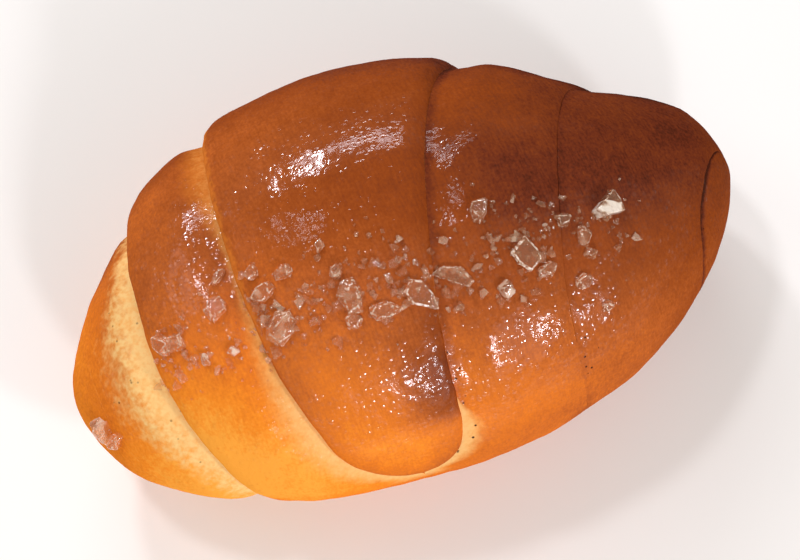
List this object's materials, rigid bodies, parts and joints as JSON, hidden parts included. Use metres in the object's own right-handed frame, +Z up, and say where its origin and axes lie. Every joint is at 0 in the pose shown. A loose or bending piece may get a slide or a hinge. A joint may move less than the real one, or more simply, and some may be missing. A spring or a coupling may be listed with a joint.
{
  "type": "salt butter roll",
  "caption": "Baked bread roll wound from one tapering strip of dough, with overlapping layers, a glossy browned crust and coarse salt along its crest.",
  "frame": {"origin": "middle of the flat base, on the surface that the roll stands on", "axes": "+X along the roll towards its slimmer end, -Y towards the side where the strip's tip ends, +Z up"},
  "size_m": [0.12, 0.0726, 0.0506],
  "materials": {
    "crust": null,
    "salt": null
  },
  "bodies": {
    "root": {"roll": "crust"}
  },
  "joints": []
}
